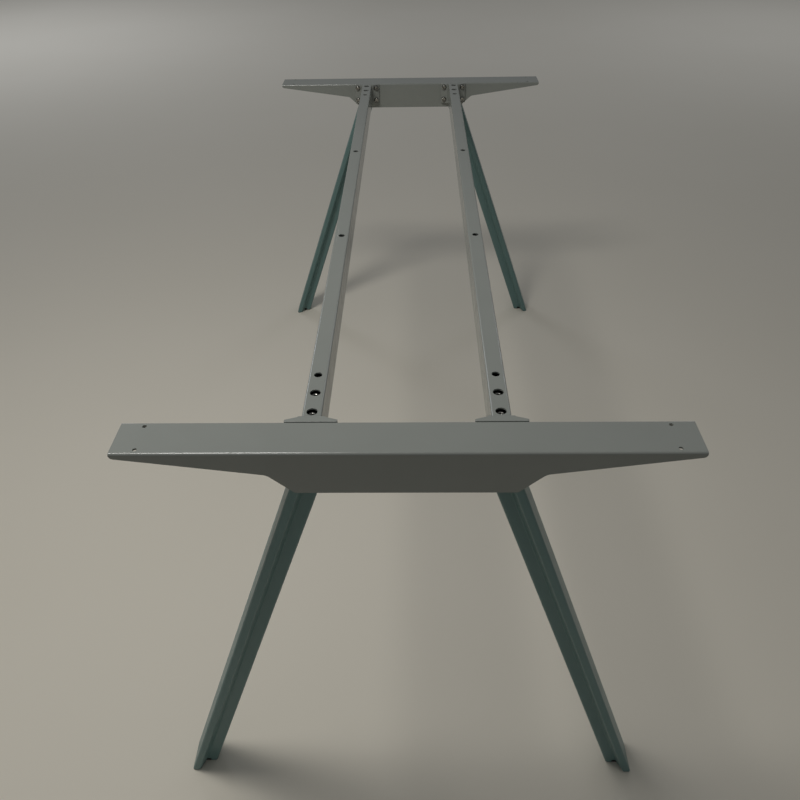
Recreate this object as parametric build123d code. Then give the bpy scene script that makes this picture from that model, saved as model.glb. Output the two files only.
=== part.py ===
from build123d import *
import math
import os

# Bolted steel underframe for a table: two end frames, each a folded crosshead on two splayed
# legs, joined by two rails of rectangular tube. Millimetres, +Z up, +Y along the rails.
# The origin is on the floor, under the middle of the frame.

# Overall sizes
frame_length = 1600.0
frame_height = 720.0
foot_spread = 750.0
leg_angle = 19.4

# Crosshead, folded from one sheet into a channel that opens downwards
crosshead_length = 700.0
crosshead_width = 60.0
crosshead_sheet = 2.5
crosshead_bend = 3.0
middle_depth = 62.5
middle_past_rail = 17.5
knee_depth = 34.0
knee_past_rail = 49.5
tip_depth = 7.4
tip_radius = 5.0
knee_radius = 14.0
corner_radius = 5.0
top_hole = 5.5
top_hole_from_end = 30.0
top_hole_from_side = 8.0

# Leg: one closed profile, a wide flat outside with shoulders that slope in to a narrow stem
leg_width = 37.0
leg_wall = 2.0
leg_lip = 11.5
leg_bend = 3.6
shoulder_bend = 3.0
stem_start = 19.0
stem_thickness = 20.0
stem_bend = 4.0
leg_side_gap = 0.25
leg_top_gap = 0.8
notch_width = 9.0
notch_height = 6.0
notch_radius = 2.0

# Glide: a cap under the end of the leg, with a plug in its hollow and a lug in each notch
cap_thickness = 1.5
cap_inset = 1.0
plug_length = 26.0
plug_gap = 0.2
lug_inset = 0.6
lug_gap = 0.3

# Rail, rectangular tube on edge
rail_width = 25.0
rail_height = 50.0
rail_wall = 2.0
rail_radius = 3.0
rail_inset = 12.75
access_hole = 14.0
access_hole_pitch = 40.0
access_hole_from_end = 9.0
access_holes = 2
fixing_hole = 11.0
fixing_holes = 4

# Connector: a cast flange that thickens to a collar, with a tongue in the end of the rail
flange_width = 66.0
flange_edge = 4.0
flange_root = 9.5
flange_seat = 4.5
flange_radius = 1.5
collar_width = 34.5
collar_draft = 0.75
collar_reach = 11.0
spot_face_gap = 0.75
tongue_length = 70.0
tongue_gap = 0.25
tongue_drop = 8.0
tongue_edge = 2.0
tongue_nose = 3.0

# Flange bolts, washers and nuts
bolt_spacing_x = 50.0
bolt_spacing_z = 32.0
bolt_diameter = 6.0
bolt_hole = 6.6
bolt_flats = 10.0
bolt_head = 4.0
bolt_past_nut = 1.5
washer_diameter = 12.5
washer_thickness = 1.6
nut_height = 5.0
thread_gap = 0.1

# Rail screws, dropped through the access holes
screw_diameter = 6.0
screw_hole = 6.4
screw_head = 12.5
screw_head_height = 3.8
screw_head_edge = 1.6
screw_socket = 4.0
screw_socket_depth = 2.0

# Worked out from the sizes above
half_length = frame_length / 2
crosshead_centre = half_length - crosshead_width / 2
inner_web_face = half_length - crosshead_width
rail_end = inner_web_face - collar_reach
rail_centre_z = frame_height - rail_height / 2
lean = math.radians(leg_angle)
rail_x = foot_spread / 2 - rail_centre_z * math.tan(lean) - rail_inset
tongue_top = rail_height / 2 - tongue_drop
leg_depth = crosshead_width - 2 * crosshead_sheet - 2 * leg_side_gap
leg_top = frame_height - crosshead_sheet - leg_top_gap
leg_reach = frame_height / math.cos(lean)
access_rows = [rail_end - access_hole_from_end - access_hole_pitch * i for i in range(access_holes)]
last_fixing = rail_end - access_hole_from_end - access_hole_pitch * access_holes
fixing_pitch = 2 * last_fixing / (fixing_holes - 1)
fixing_rows = [last_fixing - fixing_pitch * i for i in range(fixing_holes)]
washer_face = inner_web_face - flange_seat
head_face = washer_face - washer_thickness
nut_face = inner_web_face + crosshead_sheet
bolt_places = [(x, z) for x in (-bolt_spacing_x / 2, bolt_spacing_x / 2)
               for z in (-bolt_spacing_z / 2, bolt_spacing_z / 2)]


def corner_at(face, x, y):
    """The vertex of a flat outline that lies nearest to a point of its own plane."""
    return min(face.vertices(), key=lambda v: math.hypot(v.X - x, v.Y - y))


def rounded(face, corners, radius):
    """Round the named corners of an outline."""
    return fillet([corner_at(face, x, y) for x, y in corners], radius)


def rod_y(diameter, start, end):
    """A round bar along Y, from one place to another."""
    middle = (start + end) / 2
    return Pos(0, middle, 0) * Rot(90, 0, 0) * Cylinder(diameter / 2, abs(end - start))


def hexagon_y(flats, start, end):
    """A hexagonal bar along Y, from one place to another."""
    across_corners = flats / math.cos(math.pi / 6)
    middle = (start + end) / 2
    bar = extrude(RegularPolygon(across_corners / 2, 6), abs(end - start) / 2, both=True)
    return Pos(0, middle, 0) * Rot(90, 0, 0) * bar


def at_corner(piece, left, near):
    """Place a piece made for the far right corner of the frame at any of its four corners."""
    if near and left:
        return Rot(0, 0, 180) * piece
    if near:
        return mirror(piece, Plane.XZ)
    if left:
        return mirror(piece, Plane.YZ)
    return piece


def web_outline():
    """Side view of the crosshead: level top, thin tips, tapers to a middle that spans both rails."""
    tip = crosshead_length / 2
    knee = rail_x + knee_past_rail
    flat = rail_x + middle_past_rail
    half = [(tip, 0), (tip, -tip_depth), (knee, -knee_depth), (flat, -middle_depth)]
    points = half + [(-x, z) for x, z in reversed(half)]
    face = make_face(Polyline(*points, close=True))
    face = rounded(face, [(tip, -tip_depth), (-tip, -tip_depth)], tip_radius)
    face = rounded(face, [(knee, -knee_depth), (-knee, -knee_depth)], knee_radius)
    return rounded(face, [(flat, -middle_depth), (-flat, -middle_depth)], corner_radius)


def crosshead():
    """One sheet folded twice: a top plate and two deep webs, with its screw and bolt holes."""
    block = extrude(Plane.XZ * web_outline(), crosshead_width / 2, both=True)
    top_edges = block.edges().filter_by(Axis.X).group_by(Axis.Z)[-1]
    block = fillet(top_edges, crosshead_bend)
    inner_bend = crosshead_bend - crosshead_sheet
    inside_width = crosshead_width - 2 * crosshead_sheet
    inside = Pos(0, 0, -crosshead_sheet - middle_depth) * Box(
        crosshead_length + 2, inside_width, 2 * middle_depth)
    inside = fillet(inside.edges().filter_by(Axis.X).group_by(Axis.Z)[-1], inner_bend)
    body = block - inside
    hole_x = crosshead_length / 2 - top_hole_from_end
    hole_y = crosshead_width / 2 - top_hole_from_side
    for x in (-hole_x, hole_x):
        for y in (-hole_y, hole_y):
            body -= Pos(x, y, 0) * Cylinder(top_hole / 2, 4 * crosshead_sheet)
    web = crosshead_width / 2
    for side in (-1, 1):
        for x, z in bolt_places:
            drill = rod_y(bolt_hole, -web - 1, -web + crosshead_sheet + 1)
            body -= Pos(side * rail_x + x, 0, z - rail_height / 2) * drill
    return Pos(0, crosshead_centre, frame_height) * body


def leg_plane():
    """Across the leg: origin at the toe, x into the frame, z up along the leg."""
    return Plane(
        origin=(foot_spread / 2, crosshead_centre, 0),
        x_dir=(-math.cos(lean), 0, -math.sin(lean)),
        z_dir=(-math.sin(lean), 0, math.cos(lean)),
    )


def along_leg(face):
    """Run a cross-section along the whole leg, past both of its level cuts."""
    return extrude(leg_plane() * face, leg_reach, both=True)


def level_slice(bottom, top):
    """The slab of space between two heights, wide enough for one leg."""
    height = top - bottom
    reach = 2 * foot_spread
    return Pos(0, crosshead_centre, bottom + height / 2) * Box(reach, 2 * crosshead_width, height)


def leg_outline(inset=0.0):
    """Section of the leg, or of what fits inside it when its line is set in by a distance."""
    edge = leg_depth / 2
    stem = stem_thickness / 2
    half = [(0, -edge), (leg_lip, -edge), (stem_start, -stem), (leg_width, -stem)]
    points = half + [(s, -y) for s, y in reversed(half)]
    face = make_face(Polyline(*points, close=True))
    bends = [leg_bend, shoulder_bend, shoulder_bend, stem_bend]
    for (s, y), radius in zip(half, bends):
        face = rounded(face, [(s, y), (s, -y)], radius)
    return offset(face, -inset) if inset else face


def notch(gap):
    """The opening in both sides of the leg's lower end, or a lug that is smaller by a gap."""
    height = 2 * (notch_height - gap)
    opening = RectangleRounded(notch_width - 2 * gap, height, notch_radius)
    middle = stem_start + notch_width / 2
    across = Plane(
        origin=(foot_spread / 2 - middle / math.cos(lean), crosshead_centre, cap_thickness),
        x_dir=(1, 0, 0),
        z_dir=(0, -1, 0),
    )
    return extrude(across * opening, crosshead_width, both=True)


def leg():
    """The closed profile, cut level at both ends and notched for its glide."""
    profile = along_leg(leg_outline() - leg_outline(leg_wall))
    return (profile & level_slice(cap_thickness, leg_top)) - notch(0)


def glide():
    """Black end piece of the leg: a cap on the floor, a plug, and the lugs that hold it."""
    cap = along_leg(leg_outline(cap_inset)) & level_slice(0, cap_thickness)
    plug = along_leg(leg_outline(leg_wall + plug_gap)) & level_slice(0, plug_length)
    lugs = along_leg(leg_outline(lug_inset)) & notch(lug_gap) & level_slice(cap_thickness, frame_height)
    return cap + plug + lugs


def rail():
    """Rectangular tube on edge, with one row of holes along the middle of its top wall."""
    outer = RectangleRounded(rail_width, rail_height, rail_radius)
    inner = RectangleRounded(rail_width - 2 * rail_wall, rail_height - 2 * rail_wall,
                             rail_radius - rail_wall)
    body = extrude(Plane.XZ * (outer - inner), rail_end, both=True)
    top_wall = rail_height / 2 - rail_wall / 2
    for row in access_rows:
        for y in (-row, row):
            body -= Pos(0, y, top_wall) * Cylinder(access_hole / 2, 2 * rail_wall)
            body -= Pos(0, y, -top_wall) * Cylinder(screw_diameter / 2 + thread_gap, 2 * rail_wall)
    for y in fixing_rows:
        body -= Pos(0, y, top_wall) * Cylinder(fixing_hole / 2, 2 * rail_wall)
    return Pos(rail_x, 0, rail_centre_z) * body


def connector():
    """Flange with sloping wings, collar and tongue, with seats and holes for its fasteners."""
    wing = flange_width / 2
    neck = collar_width / 2
    half = [
        (wing, inner_web_face),
        (wing, inner_web_face - flange_edge),
        (neck, inner_web_face - flange_root),
        (neck - collar_draft, rail_end),
    ]
    plan = make_face(Polyline(*half, *[(-x, y) for x, y in reversed(half)], close=True))
    body = extrude(plan, rail_height / 2, both=True)
    body = fillet(body.edges().filter_by(Axis.Z).group_by(Axis.X)[0], flange_radius)
    body = fillet(body.edges().filter_by(Axis.Z).group_by(Axis.X)[-1], flange_radius)
    tongue_width = rail_width - 2 * rail_wall - 2 * tongue_gap
    tongue_bottom = -rail_height / 2 + rail_wall + tongue_gap
    tongue_face = Rectangle(tongue_width, tongue_top - tongue_bottom)
    tongue_face = chamfer(tongue_face.vertices(), tongue_edge)
    middle = (tongue_top + tongue_bottom) / 2
    tongue = Pos(0, rail_end, middle) * extrude(Plane.XZ * tongue_face, tongue_length)
    nose = tongue.faces().sort_by(Axis.Y)[0]
    body += chamfer(nose.edges(), tongue_nose)
    for row in access_rows:
        body -= Pos(0, row, 0) * Cylinder(screw_hole / 2, 2 * rail_height)
    for x, z in bolt_places:
        body -= Pos(x, 0, z) * rod_y(bolt_hole, rail_end, inner_web_face + 1)
        body -= Pos(x, 0, z) * rod_y(washer_diameter + 2 * spot_face_gap, rail_end, washer_face)
    return Pos(rail_x, 0, rail_centre_z) * body


def at_bolts(piece):
    """Copy one fastener to the four bolts of a flange."""
    middle = Pos(rail_x, 0, rail_centre_z)
    return Compound(children=[middle * Pos(x, 0, z) * piece for x, z in bolt_places])


def flange_bolts():
    """Hexagon bolts, heads on the rail's side of the flange."""
    shank = rod_y(bolt_diameter, head_face, nut_face + nut_height + bolt_past_nut)
    return at_bolts(hexagon_y(bolt_flats, head_face - bolt_head, head_face) + shank)


def flange_washers():
    """Plain washers between bolt heads and flange."""
    ring = rod_y(washer_diameter, head_face, washer_face) - rod_y(bolt_hole, head_face - 1, washer_face + 1)
    return at_bolts(ring)


def flange_nuts():
    """Hexagon nuts inside the crosshead."""
    bore = rod_y(bolt_diameter + 2 * thread_gap, nut_face - 1, nut_face + nut_height + 1)
    return at_bolts(hexagon_y(bolt_flats, nut_face, nut_face + nut_height) - bore)


def rail_screws():
    """Button head socket screws that hold the tongue down on the lower wall of the rail."""
    shank_length = tongue_top + rail_height / 2
    head = Pos(0, 0, screw_head_height / 2) * Cylinder(screw_head / 2, screw_head_height)
    rim = head.edges().filter_by(GeomType.CIRCLE).sort_by(Axis.Z)[-1]
    head = chamfer(rim, screw_head_edge)
    socket_corners = screw_socket / math.cos(math.pi / 6)
    socket = extrude(RegularPolygon(socket_corners / 2, 6), screw_socket_depth)
    head -= Pos(0, 0, screw_head_height - screw_socket_depth) * socket
    shank = Pos(0, 0, -shank_length / 2) * Cylinder(screw_diameter / 2, shank_length)
    screw = Pos(rail_x, 0, rail_centre_z + tongue_top) * (head + shank)
    return Compound(children=[Pos(0, row, 0) * screw for row in access_rows])


corner_pieces = {
    "leg": leg(),
    "glide": glide(),
    "connector": connector(),
    "flange_bolts": flange_bolts(),
    "flange_washers": flange_washers(),
    "flange_nuts": flange_nuts(),
    "rail_screws": rail_screws(),
}

nodes = {}
far_crosshead = crosshead()
nodes["far_crosshead"] = far_crosshead
nodes["near_crosshead"] = mirror(far_crosshead, Plane.XZ)
right_rail = rail()
nodes["right_rail"] = right_rail
nodes["left_rail"] = mirror(right_rail, Plane.YZ)
for end, near in (("near", True), ("far", False)):
    for side, left in (("left", True), ("right", False)):
        for name, piece in corner_pieces.items():
            nodes[f"{end}_{side}_{name}"] = at_corner(piece, left, near)

os.makedirs("parts", exist_ok=True)
for name, piece in nodes.items():
    export_step(piece, f"parts/{name}.step")
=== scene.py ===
import math
import bpy
from mathutils import Matrix, Vector


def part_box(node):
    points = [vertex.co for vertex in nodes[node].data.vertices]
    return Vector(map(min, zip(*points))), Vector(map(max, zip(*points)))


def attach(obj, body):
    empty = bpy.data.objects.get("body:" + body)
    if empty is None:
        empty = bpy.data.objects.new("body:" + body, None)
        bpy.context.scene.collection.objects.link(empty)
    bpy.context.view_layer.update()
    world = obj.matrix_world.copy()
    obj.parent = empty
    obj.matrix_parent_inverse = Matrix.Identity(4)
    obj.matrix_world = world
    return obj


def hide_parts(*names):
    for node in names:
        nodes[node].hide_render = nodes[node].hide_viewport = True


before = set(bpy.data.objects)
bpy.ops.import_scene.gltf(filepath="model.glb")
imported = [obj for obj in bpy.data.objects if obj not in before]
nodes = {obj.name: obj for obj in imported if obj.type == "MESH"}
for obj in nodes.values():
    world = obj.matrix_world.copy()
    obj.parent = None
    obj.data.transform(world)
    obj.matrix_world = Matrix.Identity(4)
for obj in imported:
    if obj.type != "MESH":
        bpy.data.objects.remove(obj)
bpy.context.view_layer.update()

# Bolted table underframe in powder coated steel, on a plain pale floor. Metres, in the frame of
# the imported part. Sizes with the ending _mm are in millimetres, and so is everything in the
# functions that make rings.

corners = [f"{end}_{side}" for end in ("near", "far") for side in ("left", "right")]

# Fasteners and tube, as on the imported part
bolt_spacing_x_mm = 50.0
bolt_spacing_z_mm = 32.0
bolt_diameter_mm = 6.0
bolt_flats_mm = 10.0
bolt_head_mm = 4.0
washer_diameter_mm = 12.5
washer_hole_mm = 6.6
washer_thickness_mm = 1.6
nut_height_mm = 5.0
button_diameter_mm = 12.5
button_height_mm = 3.8
socket_flats_mm = 4.0
socket_depth_mm = 2.0
rail_wall_mm = 2.0

# Finer forms of the fasteners
points_round = 48
thread_pitch_mm = 1.0
thread_depth_mm = 0.61
thread_turns = 3.5
thread_steps = 8
thread_chamfer_mm = 0.7
cone_degrees = 30.0
cone_face_share = 0.95
cone_steps_mm = [0.0, 0.12, 0.24, 0.36, 0.48, 0.6]
button_rim_mm = 0.8
button_land_mm = 4.4
dome_steps = 9
crease_degrees = 32.0

# How far the spanner left each fastener turned. A hexagon repeats after a sixth of a turn.
first_turn_degrees = 11
next_turn_degrees = 37
hexagon_turn_degrees = 60

# The range that holds nearly all of a noise's values
noise_low = 0.3
noise_high = 0.7

# Camera, worked out from the corners of both end frames and the four feet in the photograph
focal_pixels = 786.3
image_pixels = 800.0
sensor_mm = 36.0
camera_place = (0.0117, -1.4930, 1.3185)
camera_pitch = 36.91
camera_yaw = -1.43
camera_roll = 1.10


def linear(hex_colour):
    """An sRGB hex colour as linear red, green, blue and alpha."""
    values = [int(hex_colour[i:i + 2], 16) / 255 for i in (1, 3, 5)]
    turned = [v / 12.92 if v <= 0.04045 else ((v + 0.055) / 1.055) ** 2.4 for v in values]
    return (*turned, 1.0)


def per_metre(pattern_mm):
    """The texture scale at which one grain of a noise is as wide as a size in millimetres."""
    return 1000.0 / pattern_mm


def add_node(tree, kind, settings=None, inputs=None):
    """Add one node: its own settings first, then each input as a value or a link."""
    node = tree.nodes.new(kind)
    for name, value in (settings or {}).items():
        setattr(node, name, value)
    for name, value in (inputs or {}).items():
        if isinstance(value, bpy.types.NodeSocket):
            tree.links.new(value, node.inputs[name])
        else:
            node.inputs[name].default_value = value
    return node


def new_material(name):
    """An empty material, and object coordinates in metres."""
    material = bpy.data.materials.new(name)
    material.use_nodes = True
    tree = material.node_tree
    tree.nodes.clear()
    place = add_node(tree, "ShaderNodeTexCoord").outputs["Object"]
    return material, tree, place


def inside_rail(tree, place):
    """One inside either rail's tube and zero outside it."""
    low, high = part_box("right_rail")
    centre = (low + high) / 2
    # The line lies a little way into the wall, so that the tube's inner faces are inside it
    into_wall_mm = 0.3
    wall = (rail_wall_mm - into_wall_mm) / 1000
    axes = add_node(tree, "ShaderNodeSeparateXYZ", inputs={"Vector": place})
    from_middle = add_node(tree, "ShaderNodeMath", {"operation": "ABSOLUTE"}, {
        0: axes.outputs["X"]})
    along = add_node(tree, "ShaderNodeMath", {"operation": "ABSOLUTE"}, {
        0: axes.outputs["Y"]})
    in_width = add_node(tree, "ShaderNodeMath", {"operation": "COMPARE"}, {
        0: from_middle.outputs["Value"], 1: centre.x, 2: (high.x - low.x) / 2 - wall})
    in_height = add_node(tree, "ShaderNodeMath", {"operation": "COMPARE"}, {
        0: axes.outputs["Z"], 1: centre.z, 2: (high.z - low.z) / 2 - wall})
    in_length = add_node(tree, "ShaderNodeMath", {"operation": "LESS_THAN"}, {
        0: along.outputs["Value"], 1: high.y})
    in_section = add_node(tree, "ShaderNodeMath", {"operation": "MULTIPLY"}, {
        0: in_width.outputs["Value"], 1: in_height.outputs["Value"]})
    inside = add_node(tree, "ShaderNodeMath", {"operation": "MULTIPLY"}, {
        0: in_section.outputs["Value"], 1: in_length.outputs["Value"]})
    return inside.outputs["Value"]


def powder_coat(name, colour, mottle, peel_mm, peel_depth_mm, roughness, ior,
                painted_shading_inside=None, edge_mm=None):
    """Polyester powder coat, sprayed dry and baked.

    It gives the eye a satin skin with a soft shine, very faint orange peel and rubbed patches.
    Where a colour for inside the rails is given, it is painted over the inside of the rails in
    place of
    the coat: painted light where it is lighter, painted shade where it is darker, standing in for
    how the tube's inside is lit. Where edge_mm is given, the coat has flowed round the edges.
    """
    material, tree, place = new_material(name)
    smoother = 0.03
    rougher = 0.05
    grain_mm = peel_mm / 5
    grain_depth_mm = peel_depth_mm / 6
    cloud = add_node(tree, "ShaderNodeTexNoise", inputs={
        "Vector": place, "Scale": per_metre(90.0), "Detail": 3.0})
    smudge = add_node(tree, "ShaderNodeTexNoise", inputs={
        "Vector": place, "Scale": per_metre(28.0), "Detail": 4.0, "Roughness": 0.6})
    # The peel of a real coat is about 1 mm across. It is drawn wider so that it shows.
    peel = add_node(tree, "ShaderNodeTexNoise", inputs={
        "Vector": place, "Scale": per_metre(peel_mm), "Detail": 1.0})
    grain = add_node(tree, "ShaderNodeTexNoise", inputs={
        "Vector": place, "Scale": per_metre(grain_mm), "Detail": 2.0})
    broad = add_node(tree, "ShaderNodeBump", inputs={
        "Height": peel.outputs["Fac"], "Distance": peel_depth_mm / 1000})
    if edge_mm:
        edge = add_node(tree, "ShaderNodeBevel", {"samples": 8}, {"Radius": edge_mm / 1000})
        tree.links.new(edge.outputs["Normal"], broad.inputs["Normal"])
    fine = add_node(tree, "ShaderNodeBump", inputs={
        "Height": grain.outputs["Fac"], "Distance": grain_depth_mm / 1000,
        "Normal": broad.outputs["Normal"]})
    rubbed = add_node(tree, "ShaderNodeMapRange", inputs={
        "Value": smudge.outputs["Fac"], "From Min": noise_low, "From Max": noise_high,
        "To Min": roughness - smoother, "To Max": roughness + rougher})
    coat = add_node(tree, "ShaderNodeMix", {"data_type": "RGBA"}, {
        "Factor": cloud.outputs["Fac"], 6: linear(colour), 7: linear(mottle)})
    # Painted light or painted shade inside the rails, in place of the coat's own colour
    if painted_shading_inside:
        coat = add_node(tree, "ShaderNodeMix", {"data_type": "RGBA"}, {
            "Factor": inside_rail(tree, place), 6: coat.outputs[2], 7: linear(painted_shading_inside)})
    shader = add_node(tree, "ShaderNodeBsdfPrincipled", inputs={
        "Base Color": coat.outputs[2],
        "Roughness": rubbed.outputs["Result"],
        "IOR": ior,
        "Normal": fine.outputs["Normal"],
    })
    add_node(tree, "ShaderNodeOutputMaterial", inputs={"Surface": shader.outputs["BSDF"]})
    return material


def zinc_plate():
    """Bright zinc plated on turned and headed steel.

    It gives the eye a pale metal whose gleam is broken up by fine marks of handling.
    """
    material, tree, place = new_material("zinc_plated_steel")
    scuff_depth_mm = 0.04
    cloud = add_node(tree, "ShaderNodeTexNoise", inputs={
        "Vector": place, "Scale": per_metre(4.0), "Detail": 3.0})
    scuff = add_node(tree, "ShaderNodeTexNoise", inputs={
        "Vector": place, "Scale": per_metre(0.8), "Detail": 3.0})
    bump = add_node(tree, "ShaderNodeBump", inputs={
        "Height": scuff.outputs["Fac"], "Distance": scuff_depth_mm / 1000})
    tone = add_node(tree, "ShaderNodeMix", {"data_type": "RGBA"}, {
        "Factor": cloud.outputs["Fac"], 6: linear("#8E8D88"), 7: linear("#ACABA6")})
    dulled = add_node(tree, "ShaderNodeMapRange", inputs={
        "Value": scuff.outputs["Fac"], "From Min": noise_low, "From Max": noise_high,
        "To Min": 0.16, "To Max": 0.28})
    shader = add_node(tree, "ShaderNodeBsdfPrincipled", inputs={
        "Base Color": tone.outputs[2],
        "Metallic": 1.0,
        "Roughness": dulled.outputs["Result"],
        "Normal": bump.outputs["Normal"],
    })
    add_node(tree, "ShaderNodeOutputMaterial", inputs={"Surface": shader.outputs["BSDF"]})
    return material


def black_nylon():
    """Injection moulded nylon.

    It gives the eye a matt black with a fine spark texture and a little floor dust.
    """
    material, tree, place = new_material("black_moulded_nylon")
    spark_depth_mm = 0.08
    spark = add_node(tree, "ShaderNodeTexNoise", inputs={
        "Vector": place, "Scale": per_metre(0.6), "Detail": 3.0})
    dust = add_node(tree, "ShaderNodeTexNoise", inputs={
        "Vector": place, "Scale": per_metre(7.0), "Detail": 3.0})
    bump = add_node(tree, "ShaderNodeBump", inputs={
        "Height": spark.outputs["Fac"], "Distance": spark_depth_mm / 1000})
    tone = add_node(tree, "ShaderNodeMix", {"data_type": "RGBA"}, {
        "Factor": dust.outputs["Fac"], 6: linear("#060706"), 7: linear("#0F100F")})
    dulled = add_node(tree, "ShaderNodeMapRange", inputs={
        "Value": dust.outputs["Fac"], "From Min": noise_low, "From Max": noise_high,
        "To Min": 0.5, "To Max": 0.66})
    shader = add_node(tree, "ShaderNodeBsdfPrincipled", inputs={
        "Base Color": tone.outputs[2],
        "Roughness": dulled.outputs["Result"],
        "IOR": 1.53,
        "Normal": bump.outputs["Normal"],
    })
    add_node(tree, "ShaderNodeOutputMaterial", inputs={"Surface": shader.outputs["BSDF"]})
    return material


def pale_floor():
    """Matt painted board.

    It gives the eye a plain pale floor, a little warm, that only shows the frame's shadows.
    """
    material, tree, place = new_material("pale_floor")
    cloud = add_node(tree, "ShaderNodeTexNoise", inputs={
        "Vector": place, "Scale": per_metre(700.0)})
    tone = add_node(tree, "ShaderNodeMix", {"data_type": "RGBA"}, {
        "Factor": cloud.outputs["Fac"], 6: linear("#D6D1C3"), 7: linear("#DAD5C8")})
    shader = add_node(tree, "ShaderNodeBsdfPrincipled", inputs={
        "Base Color": tone.outputs[2],
        "Roughness": 0.85,
        "IOR": 1.4,
    })
    add_node(tree, "ShaderNodeOutputMaterial", inputs={"Surface": shader.outputs["BSDF"]})
    return material


# Inside the rails this coat has a lighter grey-green painted on: painted light, so that the dim
# inside of each tube looks lit through its holes.
frame_paint = powder_coat(
    "stone_grey_powder_coat", colour="#80847F", mottle="#868A85",
    peel_mm=3.2, peel_depth_mm=0.003, roughness=0.18, ior=1.6, painted_shading_inside="#9AA09B")
leg_paint = powder_coat(
    "teal_grey_powder_coat", colour="#5C7977", mottle="#627F7D",
    peel_mm=2.4, peel_depth_mm=0.005, roughness=0.36, ior=1.48)
# The casting's tongue inside the rails is painted near black: painted shade, which darkens the
# access holes round the screw heads.
cast_paint = powder_coat(
    "grey_powder_coat_on_casting", colour="#7E827D", mottle="#858984",
    peel_mm=1.4, peel_depth_mm=0.03, roughness=0.34, ior=1.6, painted_shading_inside="#161614", edge_mm=1.2)
fastener_zinc = zinc_plate()
glide_nylon = black_nylon()

finishes = {
    "crosshead": frame_paint, "rail": frame_paint, "leg": leg_paint, "connector": cast_paint,
    "flange_bolts": fastener_zinc, "flange_washers": fastener_zinc, "flange_nuts": fastener_zinc,
    "rail_screws": fastener_zinc, "glide": glide_nylon,
}


def paint_nodes():
    """Give each piece of the frame the finish that its name ends with."""
    for name, piece in nodes.items():
        finish = next(f for ending, f in finishes.items() if name.endswith(ending))
        piece.data.materials.clear()
        piece.data.materials.append(finish)


def circle(radius_mm):
    """The radius of a round ring at each angle."""
    return [radius_mm] * points_round


def hexagon(flats_mm, cone_mm=math.inf):
    """The radius of a hexagonal ring at each angle, its corners cut back to a cone's radius."""
    turns = [2 * math.pi * i / points_round for i in range(points_round)]
    radii = [flats_mm / 2 / math.cos(turn % (math.pi / 3) - math.pi / 6) for turn in turns]
    return [min(radius, cone_mm) for radius in radii]


def thread(height_mm, end_mm):
    """The radius of a rolled thread at each angle of one height, chamfered at its end."""
    shank = bolt_diameter_mm / 2
    chamfer = shank - thread_chamfer_mm + (height_mm - end_mm)
    turns = [(height_mm / thread_pitch_mm - i / points_round) % 1.0 for i in range(points_round)]
    return [min(shank - thread_depth_mm * abs(2 * turn - 1), chamfer) for turn in turns]


def trimmed_hexagon(flats_mm, low_mm, high_mm, trim_low, trim_high):
    """Rings of a hexagonal body, its corners trimmed by a cone at one or both ends."""
    slope = 1 / math.tan(math.radians(cone_degrees))
    face = flats_mm / 2 * cone_face_share
    trimmed = [(hexagon(flats_mm, face + slope * step), step) for step in cone_steps_mm]
    below = [(radii, low_mm + step) for radii, step in trimmed]
    above = [(radii, high_mm - step) for radii, step in reversed(trimmed)]
    rings = below if trim_low else [(hexagon(flats_mm), low_mm)]
    return rings + (above if trim_high else [(hexagon(flats_mm), high_mm)])


def bolt_rings(length_mm):
    """Hexagon bolt, seated at height zero, from its thread's end to the dish in its head."""
    end = bolt_head_mm - length_mm
    shank = bolt_diameter_mm / 2
    run_out = 0.1
    seat_radius = bolt_flats_mm * 0.47
    collar_radius = bolt_flats_mm * 0.48
    collar_height = 0.3
    dish_radius = 3.5
    dish_floor_radius = 3.0
    dish_depth = 0.22
    steps = int(thread_turns * thread_steps)
    cut = [end + thread_pitch_mm * i / thread_steps for i in range(steps)]
    rings = [(thread(height, end), height) for height in cut]
    rings += [(circle(shank), cut[-1] + run_out), (circle(shank), 0)]
    rings += [(circle(seat_radius), 0), (circle(collar_radius), collar_height)]
    rings += trimmed_hexagon(bolt_flats_mm, collar_height, bolt_head_mm, False, True)
    rings.append((circle(dish_radius), bolt_head_mm))
    return rings + [(circle(dish_floor_radius), bolt_head_mm - dish_depth)]


def nut_rings():
    """Hexagon nut: trimmed at both faces, with a countersink at each end of its bore."""
    clearance = 0.05
    sink = 0.35
    bore = bolt_diameter_mm / 2 + clearance
    rings = trimmed_hexagon(bolt_flats_mm, 0, nut_height_mm, True, True)
    rings += [(circle(bore + sink), nut_height_mm), (circle(bore), nut_height_mm - sink)]
    return rings + [(circle(bore), sink), (circle(bore + sink), 0)]


def washer_rings():
    """Stamped washer: one edge drawn round by the punch, the other left square."""
    edge = washer_diameter_mm / 2
    bore = washer_hole_mm / 2
    top = washer_thickness_mm
    # Radius and height of each ring, up the outer edge from the seat and down the hole
    square_edge = [(edge - 0.05, 0), (edge, 0.1)]
    drawn_edge = [(edge, top - 0.4), (edge - 0.1, top - 0.15), (edge - 0.35, top)]
    hole = [(bore + 0.25, top), (bore, top - 0.2), (bore, 0)]
    return [(circle(radius), height) for radius, height in square_edge + drawn_edge + hole]


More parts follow.
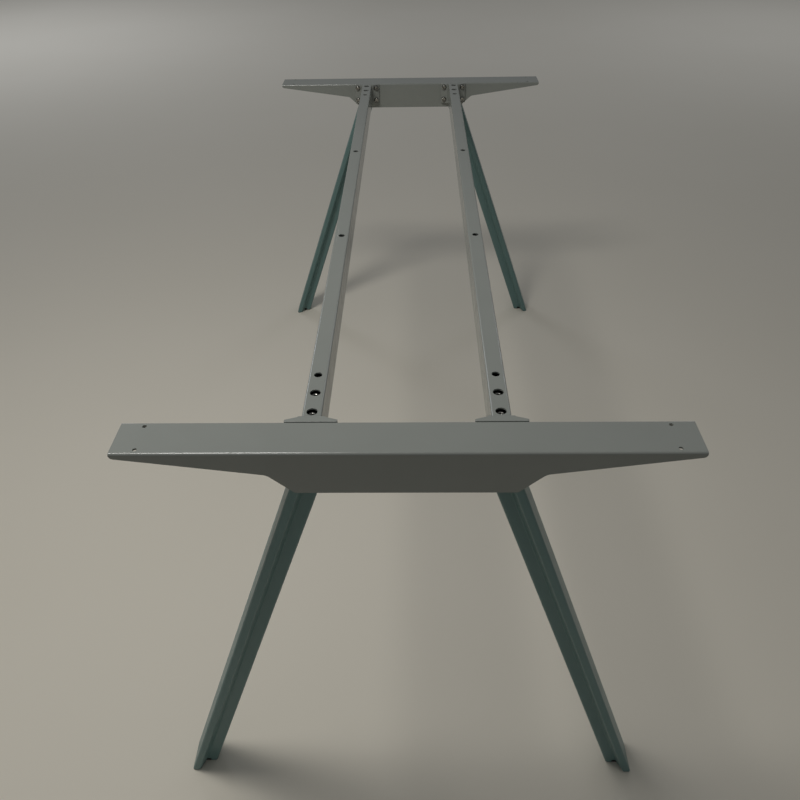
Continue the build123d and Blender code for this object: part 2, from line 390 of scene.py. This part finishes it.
def button_rings(length_mm):
    """Button head screw, seated at height zero, from its end to the bottom of its socket."""
    end = button_height_mm - length_mm
    shank = bolt_diameter_mm / 2
    edge = button_diameter_mm / 2
    chamfer = 0.5
    underside_chamfer = 0.3
    dome_height = button_height_mm - button_rim_mm
    mouth_radius = 2.6
    throat_radius = 2.35
    throat_depth = 0.15
    socket_top = button_height_mm - 0.3
    socket_floor = button_height_mm - socket_depth_mm
    drill_radius = 0.3
    drill_depth = 0.35
    outline = [(shank - chamfer, end), (shank, end + chamfer), (shank, 0)]
    outline += [(edge - underside_chamfer, 0), (edge, underside_chamfer), (edge, button_rim_mm)]
    for step in range(1, dome_steps + 1):
        angle = math.radians(90 * step / dome_steps)
        radius = button_land_mm + (edge - button_land_mm) * math.cos(angle)
        outline.append((radius, button_rim_mm + dome_height * math.sin(angle)))
    outline += [(mouth_radius, button_height_mm), (throat_radius, button_height_mm - throat_depth)]
    rings = [(circle(radius), height) for radius, height in outline]
    rings += [(hexagon(socket_flats_mm), height) for height in (socket_top, socket_floor)]
    return rings + [(circle(drill_radius), socket_floor - drill_depth)]


def fasteners(name, rings, places, axis, hollow=False):
    """One piece that holds every fastener of a node, each left at its own angle by the spanner."""
    points = []
    faces = []
    up = Vector(axis)
    first = Vector((1, 0, 0))
    second = up.cross(first)
    for number, place in enumerate(places):
        turned_degrees = (next_turn_degrees * number + first_turn_degrees) % hexagon_turn_degrees
        turned = math.radians(turned_degrees)
        start = len(points)
        for radii, height in rings:
            for i, radius in enumerate(radii):
                angle = 2 * math.pi * i / points_round + turned
                across = radius * math.cos(angle) * first + radius * math.sin(angle) * second
                points.append(Vector(place) + (across + height * up) / 1000)
        ring_starts = [start + k * points_round for k in range(len(rings))]
        pairs = list(zip(ring_starts, ring_starts[1:]))
        if hollow:
            pairs.append((ring_starts[-1], ring_starts[0]))
        for a, b in pairs:
            for i in range(points_round):
                j = (i + 1) % points_round
                faces.append((a + i, a + j, b + j, b + i))
        if not hollow:
            faces.append([ring_starts[0] + i for i in reversed(range(points_round))])
            faces.append([ring_starts[-1] + i for i in range(points_round)])
    mesh = bpy.data.meshes.new(name)
    mesh.from_pydata(points, [], faces)
    mesh.shade_smooth()
    mesh.set_sharp_from_angle(angle=math.radians(crease_degrees))
    mesh.materials.append(fastener_zinc)
    piece = bpy.data.objects.new(name + "_detail", mesh)
    bpy.context.collection.objects.link(piece)
    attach(piece, "root")
    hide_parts(name)


def fit_fasteners():
    """Bolts, washers and nuts on each flange, and button head screws above each tongue."""
    half_x = bolt_spacing_x_mm / 2000
    half_z = bolt_spacing_z_mm / 2000
    reach = button_diameter_mm / 2000
    for corner in corners:
        inward = 1 if corner.startswith("near") else -1
        bolt_low, bolt_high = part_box(f"{corner}_flange_bolts")
        washer_low, washer_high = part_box(f"{corner}_flange_washers")
        nut_low, nut_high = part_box(f"{corner}_flange_nuts")
        screw_low, screw_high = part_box(f"{corner}_rail_screws")
        centre = (bolt_low + bolt_high) / 2
        at_flange = [(centre.x + x, centre.z + z)
                     for x in (-half_x, half_x) for z in (-half_z, half_z)]
        head_top = bolt_high.y if inward > 0 else bolt_low.y
        bolt_seat = head_top - inward * bolt_head_mm / 1000
        washer_seat = washer_low.y if inward > 0 else washer_high.y
        nut_seat = nut_high.y if inward > 0 else nut_low.y
        screw_x = (screw_low.x + screw_high.x) / 2
        screw_seat = screw_high.z - button_height_mm / 1000
        bolts = bolt_rings((bolt_high.y - bolt_low.y) * 1000)
        screws = button_rings((screw_high.z - screw_low.z) * 1000)
        bolt_places = [(x, bolt_seat, z) for x, z in at_flange]
        washer_places = [(x, washer_seat, z) for x, z in at_flange]
        nut_places = [(x, nut_seat, z) for x, z in at_flange]
        screw_ys = (screw_low.y + reach, screw_high.y - reach)
        screw_places = [(screw_x, y, screw_seat) for y in screw_ys]
        into_room = (0, inward, 0)
        into_web = (0, -inward, 0)
        upwards = (0, 0, 1)
        fasteners(f"{corner}_flange_bolts", bolts, bolt_places, into_room)
        fasteners(f"{corner}_flange_washers", washer_rings(), washer_places, into_room, hollow=True)
        fasteners(f"{corner}_flange_nuts", nut_rings(), nut_places, into_web, hollow=True)
        fasteners(f"{corner}_rail_screws", screws, screw_places, upwards)


def floor():
    """A wide level floor under the feet."""
    half = 40.0
    points = [(-half, -half, 0), (half, -half, 0), (half, half, 0), (-half, half, 0)]
    mesh = bpy.data.meshes.new("floor")
    mesh.from_pydata(points, [], [(0, 1, 2, 3)])
    mesh.materials.append(pale_floor())
    piece = bpy.data.objects.new("floor", mesh)
    bpy.context.collection.objects.link(piece)


def soft_light(name, place, aim, width, depth, watts, colour):
    """A rectangular studio light that faces a point."""
    lamp = bpy.data.lights.new(name, "AREA")
    lamp.shape = "RECTANGLE"
    lamp.size = width
    lamp.size_y = depth
    lamp.energy = watts
    lamp.color = linear(colour)[:3]
    piece = bpy.data.objects.new(name, lamp)
    bpy.context.collection.objects.link(piece)
    direction = Vector(aim) - Vector(place)
    piece.location = place
    piece.rotation_euler = direction.to_track_quat("-Z", "Y").to_euler()


def studio():
    """Three soft lamps in a pale surround.

    The key lamp, above the near end, draws the shine along the crosshead's bend. The far lamps
    stand out to each side, so that the rails don't mirror them, and they light the rails' sides
    and the far floor.
    """
    soft_light("key_light", place=(-0.66, -0.5, 2.35), aim=(-0.7, -0.4, 0.0),
               width=0.66, depth=0.55, watts=20.6, colour="#FFFCF8")
    soft_light("far_left_light", place=(-3.2, 4.6, 2.8), aim=(-2.2, 4.8, 0.0),
               width=1.6, depth=1.6, watts=40.0, colour="#F0F4FF")
    soft_light("far_right_light", place=(3.0, 4.6, 2.8), aim=(2.0, 4.8, 0.0),
               width=1.6, depth=1.6, watts=20.0, colour="#F0F4FF")
    world = bpy.data.worlds.new("studio")
    bpy.context.scene.world = world
    world.use_nodes = True
    surround = world.node_tree.nodes["Background"]
    surround.inputs["Color"].default_value = linear("#D8DADC")
    surround.inputs["Strength"].default_value = 0.235


def camera():
    """The photograph's camera: place, direction and lens."""
    pitch, yaw, roll = (math.radians(a) for a in (camera_pitch, camera_yaw, camera_roll))
    level = math.cos(pitch)
    forward = Vector((math.sin(yaw) * level, math.cos(yaw) * level, -math.sin(pitch)))
    right = Vector((math.cos(yaw), -math.sin(yaw), 0))
    down = forward.cross(right)
    rolled_right = math.cos(roll) * right + math.sin(roll) * down
    rolled_down = math.cos(roll) * down - math.sin(roll) * right
    lens = bpy.data.cameras.new("camera")
    lens.sensor_width = sensor_mm
    lens.lens = focal_pixels / image_pixels * sensor_mm
    piece = bpy.data.objects.new("camera", lens)
    bpy.context.collection.objects.link(piece)
    axes = Matrix((rolled_right, -rolled_down, -forward)).transposed().to_4x4()
    piece.matrix_world = Matrix.Translation(camera_place) @ axes
    bpy.context.scene.camera = piece


paint_nodes()
fit_fasteners()
floor()
studio()
camera()
bpy.context.scene.view_settings.view_transform = "Standard"
